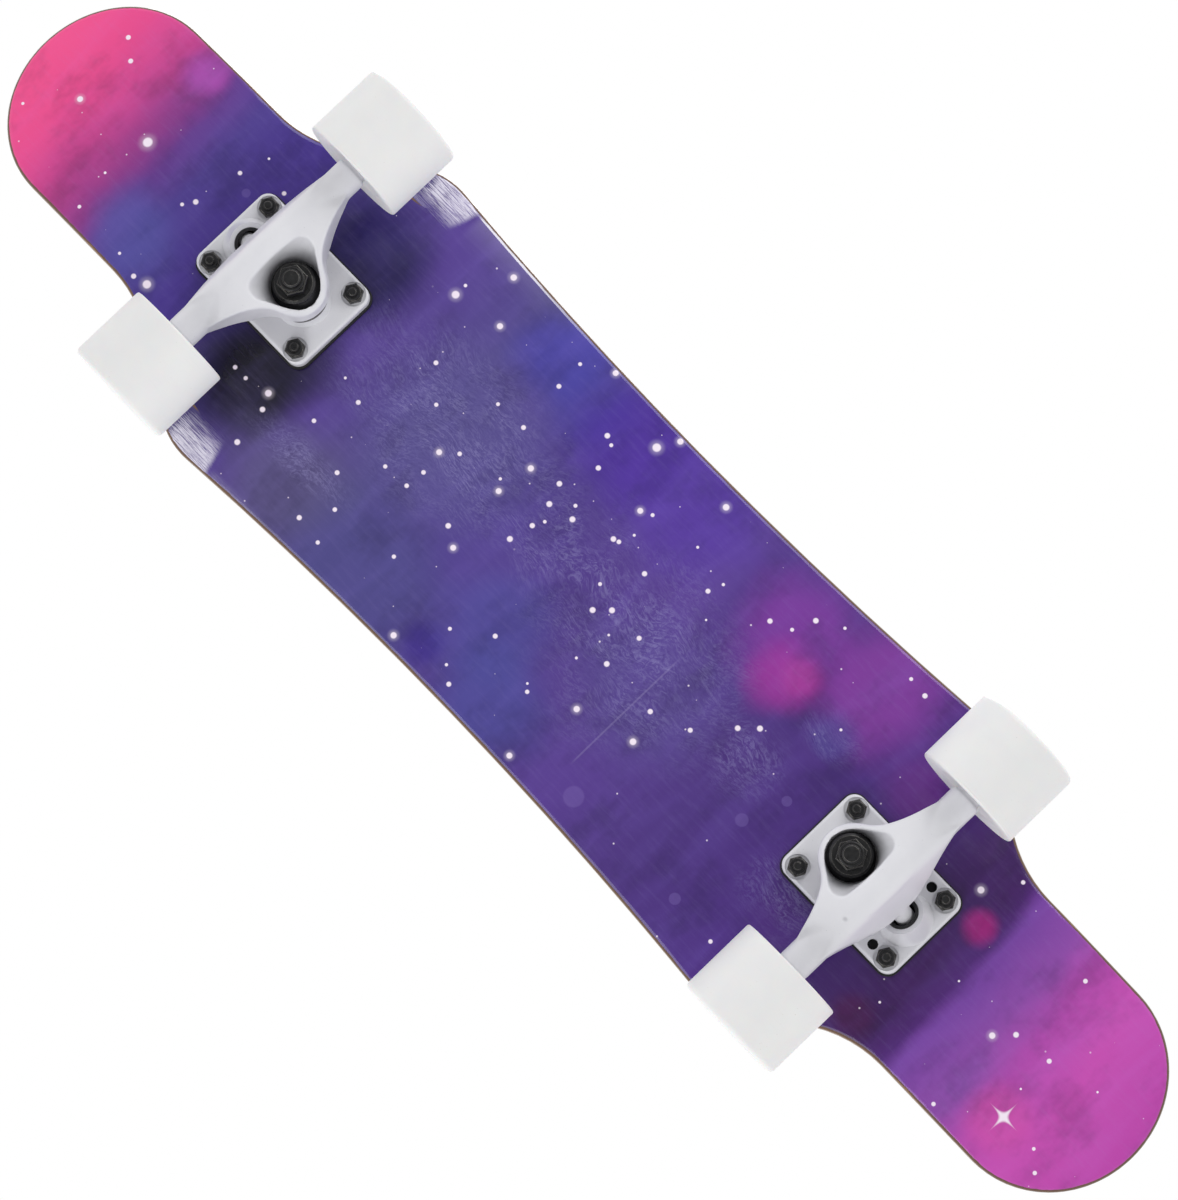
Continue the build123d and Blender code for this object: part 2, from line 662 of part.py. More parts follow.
with BuildPart() as hanger:
    with BuildSketch(Plane(origin=beam_point, x_dir=(0, 1, 0), z_dir=(1, 0, 0))):
        with BuildLine():
            straight = arm_end - arm_straight
            Polyline(
                (-straight, arm_diameter / 2),
                (-arm_end, arm_diameter / 2),
                (-arm_end, arm_shoulder_diameter / 2),
                (-hanger_width / 2, arm_shoulder_diameter / 2),
                (-hanger_width / 2, 0),
                (hanger_width / 2, 0),
                (hanger_width / 2, arm_shoulder_diameter / 2),
                (arm_end, arm_shoulder_diameter / 2),
                (arm_end, arm_diameter / 2),
                (straight, arm_diameter / 2),
            )
            Spline(
                (straight, arm_diameter / 2),
                (0, beam_diameter / 2),
                (-straight, arm_diameter / 2),
                tangents=((-1, 0), (-1, 0)),
            )
        make_face()
    revolve(axis=Axis(beam_point, (0, 1, 0)))
    add(web.part)
    # ring
    with BuildSketch(ring_centre.offset(-ring_height / 2)):
        Circle(ring_diameter / 2)
    extrude(amount=ring_height)
    # pivot stem and ball
    with BuildSketch(stem_profile):
        ball = pivot_ball_diameter / 2
        neck = pivot_neck_diameter / 2
        neck_start = (ball**2 - neck**2) ** 0.5
        with BuildLine():
            ThreePointArc((0, -ball), (ball, 0), (neck, neck_start))
            Polyline(
                (neck, neck_start),
                (neck, pivot_neck_length),
                (pivot_root_diameter / 2, stem_length),
                (0, stem_length),
                (0, -ball),
            )
        make_face()
    revolve(axis=stem_axis)
    # seats for the two bushings
    with BuildSketch(Plane.XY.offset(ring_top_z)):
        with Locations((-kingpin_inset, 0)):
            Circle(ring_bore)
    extrude(amount=boardside_bushing_height + washer_thickness, mode=Mode.SUBTRACT)
    with BuildSketch(Plane.XY.offset(ring_bottom_z)):
        with Locations((-kingpin_inset, 0)):
            Circle(ring_bore)
    extrude(amount=-2 * axle_drop, mode=Mode.SUBTRACT)
    # the pocket round the kingpin nut
    with BuildSketch(Plane.XY.offset(pocket_floor_z)):
        with Locations((-kingpin_inset, 0)):
            Circle(ring_bore)
    with BuildSketch(Plane.XY.offset(pocket_mouth_z)):
        with Locations((-kingpin_inset, 0)):
            Circle(ring_bore)
        with Locations((-pocket_corner_inset, 0)):
            with GridLocations(0, pocket_corner_spread, 1, 2):
                Circle(pocket_corner_radius)
        make_hull()
    loft(mode=Mode.SUBTRACT)
    # holes for the kingpin and the axle
    with BuildSketch(Plane.XY):
        with Locations((-kingpin_inset, 0)):
            Circle(ring_hole / 2)
    extrude(amount=-2 * axle_drop, mode=Mode.SUBTRACT)
    with BuildSketch(Plane(origin=beam_point + Vector(0, -hanger_width, 0), z_dir=(0, 1, 0))):
        Circle(axle_diameter / 2 + seat_gap)
    extrude(amount=2 * hanger_width, mode=Mode.SUBTRACT)

# ================================================================ axle and its nuts and washers
# Made round the axle's own middle; +Y along the axle.
def ring_solid(y_start, length, inner_diameter, outer_diameter):
    """Plain ring round the axle."""
    with BuildPart() as ring:
        with BuildSketch(Plane(origin=(0, y_start, 0), z_dir=(0, 1, 0))):
            Circle(outer_diameter / 2)
            Circle(inner_diameter / 2, mode=Mode.SUBTRACT)
        extrude(amount=length)
    return ring.part


axle_bore = axle_diameter + 2 * seat_gap

with BuildPart() as axle:
    with BuildSketch(Plane(origin=(0, -axle_length / 2, 0), z_dir=(0, 1, 0))):
        Circle(axle_diameter / 2)
    extrude(amount=axle_length)
    chamfer(axle.edges().filter_by(GeomType.CIRCLE), axle_end_chamfer)

with BuildPart() as speed_washers:
    for y_start in (hanger_width / 2, bearing_end_y):
        washer = ring_solid(y_start, speed_washer_thickness, axle_bore, speed_washer_diameter)
        add(washer)
        add(mirror(washer, Plane.XZ))

with BuildPart() as axle_nuts:
    for side in (-1, 1):
        base = Plane(origin=(0, side * axle_nut_y, 0), z_dir=(0, side, 0))
        add(lock_nut(axle_nut_hex, axle_nut_flats, axle_nut_collar, axle_bore, base))

# ================================================================ wheel and bearings
# Made on the left end of an axle: +Y outboard, from the middle of the board.
tread = wheel_diameter / 2
seat = bearing_diameter / 2 + seat_gap

with BuildPart() as wheel:
    with BuildSketch(Plane.YZ):
        with BuildLine():
            Polyline(
                (wheel_inner_face, tread),
                (wheel_outer_face, tread),
                (wheel_outer_face, tread - side_land),
                (wheel_outer_face - side_face_dish, outer_recess_diameter / 2),
                (bearing_end_y, outer_recess_floor / 2),
                (bearing_end_y, seat),
                (outer_bearing_y, seat),
                (outer_bearing_y, core_bore / 2),
                (inner_bearing_y + bearing_width, core_bore / 2),
                (inner_bearing_y + bearing_width, seat),
                (inner_bearing_y, seat),
                (inner_bearing_y, inner_recess_floor / 2),
                (wheel_inner_face + side_face_dish, inner_recess_diameter / 2),
                (wheel_inner_face, tread - side_land),
                close=True,
            )
        make_face()
    revolve(axis=Axis.Y)
    for place, lip_round in ((0, inner_lip_round), (-1, outer_lip_round)):
        circles = wheel.edges().filter_by(GeomType.CIRCLE)
        rims = circles.filter_by(lambda edge: edge.radius > tread - seat_gap)
        fillet(rims.sort_by(Axis.Y)[place], lip_round)

bearing_starts = (inner_bearing_y, outer_bearing_y)
groove = ball_diameter / 2 + turn_gap


def race(inner_diameter, outer_diameter):
    """Two bearing rings with their ball grooves."""
    with BuildPart() as rings:
        for start in bearing_starts:
            add(ring_solid(start, bearing_width, inner_diameter, outer_diameter))
            with BuildSketch(Plane.YZ):
                with Locations((start + bearing_width / 2, ball_circle / 2)):
                    Circle(groove)
            revolve(axis=Axis.Y, mode=Mode.SUBTRACT)
    return rings.part


bearing_inner_rings = race(axle_bore, inner_ring_diameter)
bearing_outer_rings = race(outer_ring_bore, bearing_diameter)


def ball_plane(start):
    """Middle plane of a bearing."""
    return Plane(origin=(0, start + bearing_width / 2, 0), z_dir=(0, 1, 0))


with BuildPart() as bearing_balls:
    for start in bearing_starts:
        with Locations(ball_plane(start)):
            with PolarLocations(ball_circle / 2, ball_count):
                Sphere(ball_diameter / 2)

cage_width = ball_diameter + 2 * turn_gap + 2 * cage_side

with BuildPart() as bearing_cages:
    for start in bearing_starts:
        cage_start = start + (bearing_width - cage_width) / 2
        add(ring_solid(cage_start, cage_width, ball_circle - cage_wall, ball_circle + cage_wall))
        with Locations(ball_plane(start)):
            with PolarLocations(ball_circle / 2, ball_count):
                Cylinder(
                    ball_diameter / 2 + turn_gap,
                    4 * cage_wall,
                    rotation=(0, 90, 0),
                    mode=Mode.SUBTRACT,
                )

with BuildPart() as bearing_shields:
    shield_inner = inner_ring_diameter + 2 * shield_gap
    for start in bearing_starts:
        for edge_y in (start + shield_inset, start + bearing_width - shield_inset - shield_thickness):
            add(ring_solid(edge_y, shield_thickness, shield_inner, outer_ring_bore - 2 * seat_gap))

bearing_spacer = ring_solid(
    inner_bearing_y + bearing_width + seat_gap,
    bearing_spacing - 2 * seat_gap,
    axle_bore,
    spacer_diameter,
)

# ================================================================ assembly
truck_pieces = {
    "riser_pad": riser_pad.part,
    "baseplate": baseplate.part,
    "mounting_bolts": mounting_bolts.part,
    "mounting_nuts": mounting_nuts.part,
    "pivot_cup": pivot_cup.part,
    "hanger": hanger.part,
}
kingpin_pieces = {
    "kingpin": kingpin.part,
    "boardside_washer": boardside_washer,
    "boardside_bushing": boardside_bushing,
    "roadside_bushing": roadside_bushing,
    "roadside_washer": roadside_washer,
    "kingpin_nut": kingpin_nut,
}
axle_pieces = {
    "axle": axle.part,
    "speed_washers": speed_washers.part,
    "axle_nuts": axle_nuts.part,
}
wheel_pieces = {
    "wheel": wheel.part,
    "bearing_outer_rings": bearing_outer_rings,
    "bearing_inner_rings": bearing_inner_rings,
    "bearing_balls": bearing_balls.part,
    "bearing_cages": bearing_cages.part,
    "bearing_shields": bearing_shields.part,
    "bearing_spacer": bearing_spacer,
}
for end, truck_place in truck_places.items():
    for name, piece in truck_pieces.items():
        save(piece, f"{end}_{name}", truck_place)
    for name, piece in kingpin_pieces.items():
        save(piece, f"{end}_{name}", truck_place * kingpin_place)
    axle_place = truck_place * Location(beam_point)
    for name, piece in axle_pieces.items():
        save(piece, f"{end}_{name}", axle_place)
    for side, turn in wheel_turns.items():
        if end == "rear":
            turn += 180
        for name, piece in wheel_pieces.items():
            save(piece, f"{end}_{side}_{name}", axle_place * Location((0, 0, 0), (0, 0, turn)))
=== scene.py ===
import json
import math

import bpy
from mathutils import Matrix, Vector


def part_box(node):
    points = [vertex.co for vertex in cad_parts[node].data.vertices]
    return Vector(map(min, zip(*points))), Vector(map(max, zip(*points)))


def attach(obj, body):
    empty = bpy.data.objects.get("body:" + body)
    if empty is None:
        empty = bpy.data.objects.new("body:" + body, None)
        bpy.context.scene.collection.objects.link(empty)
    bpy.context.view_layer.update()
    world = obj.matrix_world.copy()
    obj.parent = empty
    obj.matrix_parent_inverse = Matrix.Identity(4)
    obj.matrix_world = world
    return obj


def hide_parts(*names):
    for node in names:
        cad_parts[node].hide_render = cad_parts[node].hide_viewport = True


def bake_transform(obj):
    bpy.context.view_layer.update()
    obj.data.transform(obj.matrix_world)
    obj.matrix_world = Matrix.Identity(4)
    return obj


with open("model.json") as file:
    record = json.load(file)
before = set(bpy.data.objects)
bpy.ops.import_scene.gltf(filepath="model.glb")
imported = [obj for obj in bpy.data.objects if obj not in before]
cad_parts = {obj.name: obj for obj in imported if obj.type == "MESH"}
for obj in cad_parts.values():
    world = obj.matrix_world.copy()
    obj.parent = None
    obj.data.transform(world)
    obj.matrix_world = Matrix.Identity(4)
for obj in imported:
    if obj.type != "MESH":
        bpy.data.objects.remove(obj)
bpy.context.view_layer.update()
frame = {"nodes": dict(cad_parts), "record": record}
MM = 0.001

# The camera looks up at the underside, as if the board were held over it.
CAMERA_PLACE = Vector((285.7, 132.9, -2036.7)) * MM
CAMERA_FORWARD = Vector((-0.12719, -0.06117, 0.98999))
CAMERA_RIGHT = Vector((0.69159, -0.72093, 0.04431))
CAMERA_LENS = 126.0
SENSOR = 36.0
CAMERA_CLIP = (0.05, 20)

# Brightness of the world straight below the board.
LOW_SKY = 0.42
# Soft lights: name, place and size in metres, power in watts.
STUDIO_LIGHTS = [
    ("left_below", (0.3, 1.5, -1.0), (1.6, 0.9), 11),
    ("right_below", (-0.3, -1.5, -1.0), (1.6, 0.9), 13),
    ("key_above", (-1.0, -1.2, 1.8), (1.2, 1.2), 14),
]

LIGHT_TARGET = (0, 0, 0.08)
# The world fades from its low brightness to white between these two heights of the view.
SKY_FADE = (-0.85, -0.3)

FLOOR_REACH = 6.0
FLOOR_COLOR = (0.86, 0.86, 0.87, 1)
FLOOR_ROUGHNESS = 0.85

# Deck shape, as the CAD model has it.
DECK_LOW, DECK_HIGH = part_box("deck")
DECK_THICKNESS = 10 * MM
DECK_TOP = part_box("front_riser_pad")[1][2] + DECK_THICKNESS
# Where the straight part of each kick, drawn on, would meet the flat of the deck.
KICK_START = 301.9 * MM
KICK_SLOPE = math.tan(math.radians(13.0))
FLAT_HALF = 35 * MM
CONCAVE_RADIUS = 400 * MM
PLIES = 7
PLY_COUNT_START = 50  # keeps the count of plies above zero everywhere

# Grain of the meshes that are remeshed and smoothed, and how often they are smoothed.
CASTING_VOXEL = 0.7 * MM
CASTING_PASSES = 16
BUSHING_VOXEL = 0.6 * MM
BUSHING_PASSES = 3
SMOOTHING = 0.5

# Small dimple in the face of the front hanger, on its beam: place, radius and core in mm.
DIMPLE = (222.2, 24.9)
DIMPLE_RADIUS = 1.6
DIMPLE_CORE = 0.4
# The dimple is only below this height, and whole below the second.
DIMPLE_HEIGHTS = (30 * MM, 24 * MM)

# Rounding of sharp metal edges, and the depth of the finest bumps.
EDGE_ROUND = 0.3 * MM
FINE_BUMP = 0.03 * MM
BEVEL_SAMPLES = 4
# Cosines between which a rounded normal starts to count as an edge, and fully counts.
EDGE_TURN = (0.995, 0.86)


def srgb(code):
    """Linear colour from a hex code."""
    parts = [int(code[i : i + 2], 16) / 255 for i in (0, 2, 4)]
    return [p / 12.92 if p <= 0.04045 else ((p + 0.055) / 1.055) ** 2.4 for p in parts] + [1.0]


class Paint:
    """One material, with short calls for its nodes."""

    def __init__(self, name, color="808080", roughness=0.5, metallic=0.0, **sockets):
        self.material = bpy.data.materials.new(name)
        self.material.use_nodes = True
        self.tree = self.material.node_tree
        self.shader = self.tree.nodes["Principled BSDF"]
        self.shader.inputs["Base Color"].default_value = srgb(color)
        self.shader.inputs["Roughness"].default_value = roughness
        self.shader.inputs["Metallic"].default_value = metallic
        for socket, value in sockets.items():
            self.shader.inputs[socket.replace("_", " ")].default_value = value
        coordinates = self.tree.nodes.new("ShaderNodeTexCoord")
        self.place = coordinates.outputs["Object"]
        self.normal = coordinates.outputs["Normal"]

    def put(self, value, socket):
        """Links an output to a socket, or sets the socket's own value."""
        if isinstance(value, bpy.types.NodeSocket):
            self.tree.links.new(value, socket)
        elif isinstance(value, str):
            socket.default_value = srgb(value)
        else:
            socket.default_value = value

    def set(self, socket, value):
        """Links or sets a socket of the shader."""
        self.put(value, self.shader.inputs[socket])

    def math(self, operation, a, b=0.0, c=0.0):
        """One sum on up to three values."""
        node = self.tree.nodes.new("ShaderNodeMath")
        node.operation = operation
        for index, value in enumerate((a, b, c)):
            self.put(value, node.inputs[index])
        return node.outputs[0]

    def vector(self, operation, a, b):
        """One sum on two vectors. A distance or a length comes out as a value."""
        node = self.tree.nodes.new("ShaderNodeVectorMath")
        node.operation = operation
        self.put(a, node.inputs[0])
        self.put(b, node.inputs[1])
        return node.outputs["Value" if operation in ("DISTANCE", "LENGTH") else "Vector"]

    def axes(self, source=None):
        """The x, y and z of a vector, or of the place on the object."""
        node = self.tree.nodes.new("ShaderNodeSeparateXYZ")
        self.put(source or self.place, node.inputs[0])
        return node.outputs["X"], node.outputs["Y"], node.outputs["Z"]

    def times(self, *factors):
        """Product of several values."""
        product = factors[0]
        for factor in factors[1:]:
            product = self.math("MULTIPLY", product, factor)
        return product

    def sway(self, noise, reach):
        """A 0 to 1 noise as a swing of that reach round zero."""
        return self.math("MULTIPLY_ADD", noise, reach, -reach / 2)

    def away(self, flat, x, y):
        """Distance from a point given in mm."""
        return self.vector("DISTANCE", flat, (x * MM, y * MM, 0))

    def join(self, x, y, z):
        """A vector from its x, y and z."""
        node = self.tree.nodes.new("ShaderNodeCombineXYZ")
        for index, value in enumerate((x, y, z)):
            self.put(value, node.inputs[index])
        return node.outputs[0]

    def noise(self, scale, detail=2.0, stretch=(1, 1, 1), source=None, roughness=0.5, distortion=0.0):
        """Noise from 0 to 1; scale is in features per metre."""
        node = self.tree.nodes.new("ShaderNodeTexNoise")
        self.put(self.vector("MULTIPLY", source or self.place, stretch), node.inputs["Vector"])
        node.inputs["Scale"].default_value = scale
        node.inputs["Detail"].default_value = detail
        node.inputs["Roughness"].default_value = roughness
        node.inputs["Distortion"].default_value = distortion
        return node.outputs["Fac"]

    def cells(self, scale, flat=False, source=None):
        """Voronoi distance and random colour."""
        node = self.tree.nodes.new("ShaderNodeTexVoronoi")
        node.voronoi_dimensions = "2D" if flat else "3D"
        self.put(source or self.place, node.inputs["Vector"])
        node.inputs["Scale"].default_value = scale
        return node.outputs["Distance"], node.outputs["Color"]

    def step(self, source, low, high, out_low=0.0, out_high=1.0):
        """Smooth step of a value from low to high."""
        node = self.tree.nodes.new("ShaderNodeMapRange")
        node.interpolation_type = "SMOOTHSTEP"
        for index, value in enumerate((source, low, high, out_low, out_high)):
            self.put(value, node.inputs[index])
        return node.outputs[0]

    def ramp(self, source, stops):
        """Colour ramp from (place, hex colour) stops."""
        node = self.tree.nodes.new("ShaderNodeValToRGB")
        elements = node.color_ramp.elements
        while len(elements) < len(stops):
            elements.new(0.5)
        for element, (place, color) in zip(elements, stops):
            element.position = place
            element.color = srgb(color)
        self.put(source, node.inputs[0])
        return node.outputs[0]

    def mix(self, factor, a, b, blend="MIX"):
        """Colour a where the factor is 0 and b where it is 1."""
        node = self.tree.nodes.new("ShaderNodeMix")
        node.data_type = "RGBA"
        node.blend_type = blend
        self.put(factor, node.inputs[0])
        self.put(a, node.inputs[6])
        self.put(b, node.inputs[7])
        return node.outputs[2]

    def edges(self, radius):
        """Rounds sharp edges in the shading, and gives a 0 to 1 mask of where they are."""
        bevel = self.tree.nodes.new("ShaderNodeBevel")
        bevel.samples = BEVEL_SAMPLES
        bevel.inputs["Radius"].default_value = radius
        geometry = self.tree.nodes.new("ShaderNodeNewGeometry")
        node = self.tree.nodes.new("ShaderNodeVectorMath")
        node.operation = "DOT_PRODUCT"
        self.tree.links.new(bevel.outputs[0], node.inputs[0])
        self.tree.links.new(geometry.outputs["True Normal"], node.inputs[1])
        return bevel.outputs[0], self.step(node.outputs["Value"], *EDGE_TURN)

    def bump(self, height, depth, strength=1.0, under=None):
        """Bump of a 0 to 1 height, depth in metres."""
        node = self.tree.nodes.new("ShaderNodeBump")
        node.inputs["Strength"].default_value = strength
        node.inputs["Distance"].default_value = depth
        self.put(height, node.inputs["Height"])
        if under is not None:
            self.put(under, node.inputs["Normal"])
        self.tree.links.new(node.outputs[0], self.shader.inputs["Normal"])
        return node.outputs[0]


# ---------------------------------------------------------------- deck
# Base colours of the print along the deck, from the rear tip to the front one: x in mm, colour.
PRINT_STOPS = [
    (-406, "fb5694"),
    (-372, "ee4c92"),
    (-345, "c84190"),
    (-325, "96388a"),
    (-308, "64378c"),
    (-285, "4e3c90"),
    (-250, "473290"),
    (-212, "35286e"),
    (-165, "584094"),
    (-110, "52478c"),
    (-50, "513f90"),
    (0, "4f3889"),
    (60, "573a90"),
    (120, "4b307f"),
    (180, "4c2c82"),
    (225, "43206f"),
    (262, "421860"),
    (280, "4e2074"),
    (288, "7842a4"),
    (315, "904aaa"),
    (335, "b84ab2"),
    (360, "cb4fb6"),
    (406, "c046ae"),
]
# Soft clouds in the print: x, y, size in mm, colour, strength.
PRINT_CLOUDS = [
    (-192, 45, 44, "12111b", 0.97),
    (-176, 22, 30, "1c1838", 0.55),
    (-190, -42, 42, "1c164e", 0.85),
    (-138, 72, 46, "5c5680", 0.75),
    (-80, 80, 62, "4a4a86", 0.6),
    (-88, -78, 34, "4a46ae", 0.7),
    (-60, -70, 32, "4440a0", 0.5),
    (-30, -70, 44, "4a24a0", 0.6),
    (-95, -5, 60, "59528f", 0.55),
    (-30, 78, 15, "331c86", 0.75),
    (15, 75, 40, "4a50a0", 0.55),
    (-10, 45, 40, "4750a0", 0.4),
    (14, -70, 52, "5a38ac", 0.6),
    (65, 10, 55, "514a8a", 0.4),
    (150, -75, 48, "8a3ca2", 0.75),
    (100, -62, 44, "8836a4", 0.65),
    (112, -42, 27, "a02c98", 0.75),
    (117, -48, 15, "b03a9c", 0.6),
    (150, -38, 16, "4a4290", 0.6),
    (200, 45, 22, "542c88", 0.6),
    (200, -50, 26, "6c2c8c", 0.7),
    (270, -25, 13, "b01e84", 0.85),
    (257, 52, 16, "4c1150", 0.8),
    (-290, 40, 34, "5453a4", 0.7),
    (-327, -47, 17, "b04eb4", 0.8),
    (345, 35, 24, "d450ae", 0.7),
]
# Faint round ghosts in the print.
PRINT_GHOSTS = [(153, 76, 3.4), (148, 24, 3.8), (157, 1, 3.0), (80, 77, 6.0), (-265, -18, 2.6)]
# Patches where the print is rubbed down to pale grain: x, y, length, width.
PRINT_RUBS = [
    (-98, -8, 96, 52),
    (50, 2, 74, 62),
    (-140, 58, 40, 14),
    (148, -38, 20, 15),
    (128, 0, 24, 26),
    (-10, -10, 60, 40),
    (190, 35, 30, 24),
]
# Stars of the print: x, y, radius in mm.
PRINT_STARS = [
    (-367, 9, 2.0), (-322, 0, 3.2), (-363, -24, 1.6), (-374, -32, 1.6), (-326, 27, 0.9), (-322, 49, 1.2),
    (-288, 51, 1.0), (-274, 54, 1.6), (-266, 52, 2.7), (-284, 10, 1.2), (-280, 4, 1.7), (-275, -23, 1.4),
    (-270, -39, 0.8), (-251, -32, 1.4), (-388, 32, 1.0), (-202, 49, 1.4), (-122, 79, 1.6), (-106, 81, 1.3),
    (-112, 63, 1.4), (-125, 49, 1.5), (-153, 39, 1.4), (-173, 75, 1.8), (-176, 54, 1.7), (-180, 46, 2.2),
    (-194, 49, 1.3), (-144, 16, 1.5), (-158, 12, 0.9), (-110, 29, 1.3), (-95, 28, 1.4), (-94, 17, 1.4),
    (-96, 4, 1.9), (-88, -3, 1.4), (-115, -12, 1.3), (-131, -27, 1.5), (-93, -35, 1.2), (-75, -36, 1.5),
    (-73, 58, 1.3), (-65, 27, 1.7), (-55, 33, 1.9), (-60, -4, 1.9), (-64, -9, 1.0), (-57, -24, 2.0),
    (-44, 86, 2.0), (-38, 9, 1.8), (-35, -4, 1.6), (-32, -10, 1.1), (-37, -18, 1.8), (-41, -29, 1.7),
    (-23, -21, 1.8), (-27, -27, 1.2), (-33, -49, 1.6), (-37, -62, 1.2), (-42, -64, 1.7), (-78, -64, 1.5),
    (-122, -64, 2.0), (-150, -59, 2.5), (-150, -66, 1.1), (-136, -87, 2.1), (-79, -80, 1.2), (-63, -90, 1.9),
    (-20, -78, 2.7), (-14, -89, 2.0), (-6, 83, 1.5), (-14, 77, 1.0), (-26, 63, 1.2), (-7, 49, 1.5),
    (-1, -29, 1.7), (2, -30, 1.4), (5, -38, 0.9), (-2, -49, 1.9), (4, -52, 1.2), (18, 4, 1.8),
    (25, -3, 1.8), (11, -8, 1.2), (42, 86, 1.9), (25, 57, 1.3), (22, 54, 0.8), (49, 45, 2.0),
    (81, 36, 2.1), (76, 19, 1.6), (97, 11, 1.5), (43, 18, 1.7), (30, 27, 0.9), (33, 7, 0.8),
    (45, -3, 1.5), (23, -28, 1.6), (113, -7, 1.7), (121, -15, 1.8), (52, -45, 1.5), (55, -53, 1.0),
    (32, -57, 0.9), (62, -34, 0.7), (85, -57, 1.6), (96, -62, 1.2), (101, -74, 1.7), (114, -82, 1.0),
    (27, -82, 2.1), (167, -87, 1.6), (156, -88, 1.2), (181, 78, 1.3), (150, -44, 0.9), (317, 54, 1.3),
    (313, 9, 2.0), (321, 0, 1.7), (342, -3, 1.5), (342, 17, 0.7), (368, 33, 1.1), (377, 41, 1.3),
    (326, -44, 1.4), (370, -10, 0.7), (262, 38, 0.8), (282, 2, 0.7), (257, -38, 2.2), (269, -56, 1.3),
]
SPARKLE = (346, 33)
SPARKLE_ARM = 0.4  # half thickness of its arms, in mm
SPARKLE_FADE = (6.5, 1.5)  # where the arms end and where they are full, in square mm
SPARKLE_LENGTH = (11.5, 2.0)
# One long scratch across the deck: place, then half width and half length, each with its full core.
SCRATCH = (67, 28)
SCRATCH_WIDTH = (0.7, 0.2)
SCRATCH_LENGTH = (40, 32)
# Painted highlight in the rear wheel wells, pale streaks along the grain where the lacquer would glint:
# start and end along x, start and full across.
WELL_HIGHLIGHT = [value * MM for value in (-206, -174, 78, 92)]
WELL_FRAY = 24 * MM
WELL_SLANT = 0.25
WELL_START_FADE = 8 * MM
WELL_CREASE = (-3 * MM, 1 * MM)
# How far that painted highlight runs on along the rails: gone, full, and where it starts past the well.
RAIL_HIGHLIGHT = [value * MM for value in (-70, -144, -168)]
LEFT_RAIL_EDGE = 100 * MM
RIGHT_RAIL = (-70 * MM, -80 * MM)

# The colour bands of the print lean across the deck and drift along it.
BAND_LEAN = -0.10
BAND_DRIFT = 0.05
BAND_STREAK = 0.012
# Full core of a cloud, and of a ghost, of its size.
CLOUD_CORE = 0.3
GHOST_CORE = 0.8
# Edge and core of a rub, of its own size.
RUB_FADE = (1.1, 0.2)
# Stars: edge and core of a star, and edge of its halo, of the star's radius.
STAR_EDGE = 1.05
STAR_CORE = 0.6
STAR_HALO = 2.0
HALO_STRENGTH = 0.22
HALO_FROM = 1.8  # stars larger than this have a halo
# Dust of tiny stars: how many cells per metre, which of them hold one, and the largest size.
DUST_SCALE = 62
DUST_SHARE = (0.68, 0.7)
DUST_SIZE = 0.045
DUST_STRENGTH = 0.7
# Face slopes at which the print gives way to the bare ply edge.
PRINT_EDGE = (-0.80, -0.86)
PRINT_EDGE_ROUGH = 0.10
# Face slopes of the rounding along the lower edge.
ROUNDING = (-0.995, -0.97)


def colour_bands(paint, x, y):
    """Base colours of the print, in bands that lean and drift a little."""
    drift = paint.sway(paint.noise(9, 4, (1.0, 0.8, 0), roughness=0.6), BAND_DRIFT)
    streak = paint.sway(paint.noise(18, 3, (2.2, 0.4, 0)), BAND_STREAK)
    length = DECK_HIGH[0] - DECK_LOW[0]
    along = paint.math("MULTIPLY_ADD", x, 1 / length, 0.5)
    along = paint.math("MULTIPLY_ADD", y, BAND_LEAN, along)
    stops = [(stop * MM / length + 0.5, code) for stop, code in PRINT_STOPS]
    return paint.ramp(paint.math("ADD", along, paint.math("ADD", drift, streak)), stops)


def clouds(paint, flat, wobble, color):
    """Soft clouds, broad strokes mostly across the deck, and faint round ghosts."""
    for cloud_x, cloud_y, size, code, strength in PRINT_CLOUDS:
        away = paint.times(paint.away(flat, cloud_x, cloud_y), wobble)
        cover = paint.step(away, size * MM, size * CLOUD_CORE * MM, 0.0, strength)
        color = paint.mix(cover, color, code)
    band = paint.noise(34, 3, (1.7, 0.35, 0), distortion=0.6)
    color = paint.mix(paint.step(band, 0.42, 0.75, 0.0, 0.10), color, "7462c4", "SCREEN")
    shade = paint.noise(24, 4, (1.2, 0.8, 0), roughness=0.65)
    color = paint.mix(paint.step(shade, 0.55, 0.3, 0.0, 0.30), color, "2a1860", "MULTIPLY")
    for ghost_x, ghost_y, size in PRINT_GHOSTS:
        away = paint.away(flat, ghost_x, ghost_y)
        cover = paint.step(away, size * MM, size * GHOST_CORE * MM, 0.0, 0.22)
        color = paint.mix(cover, color, "8a74c0")
    return color


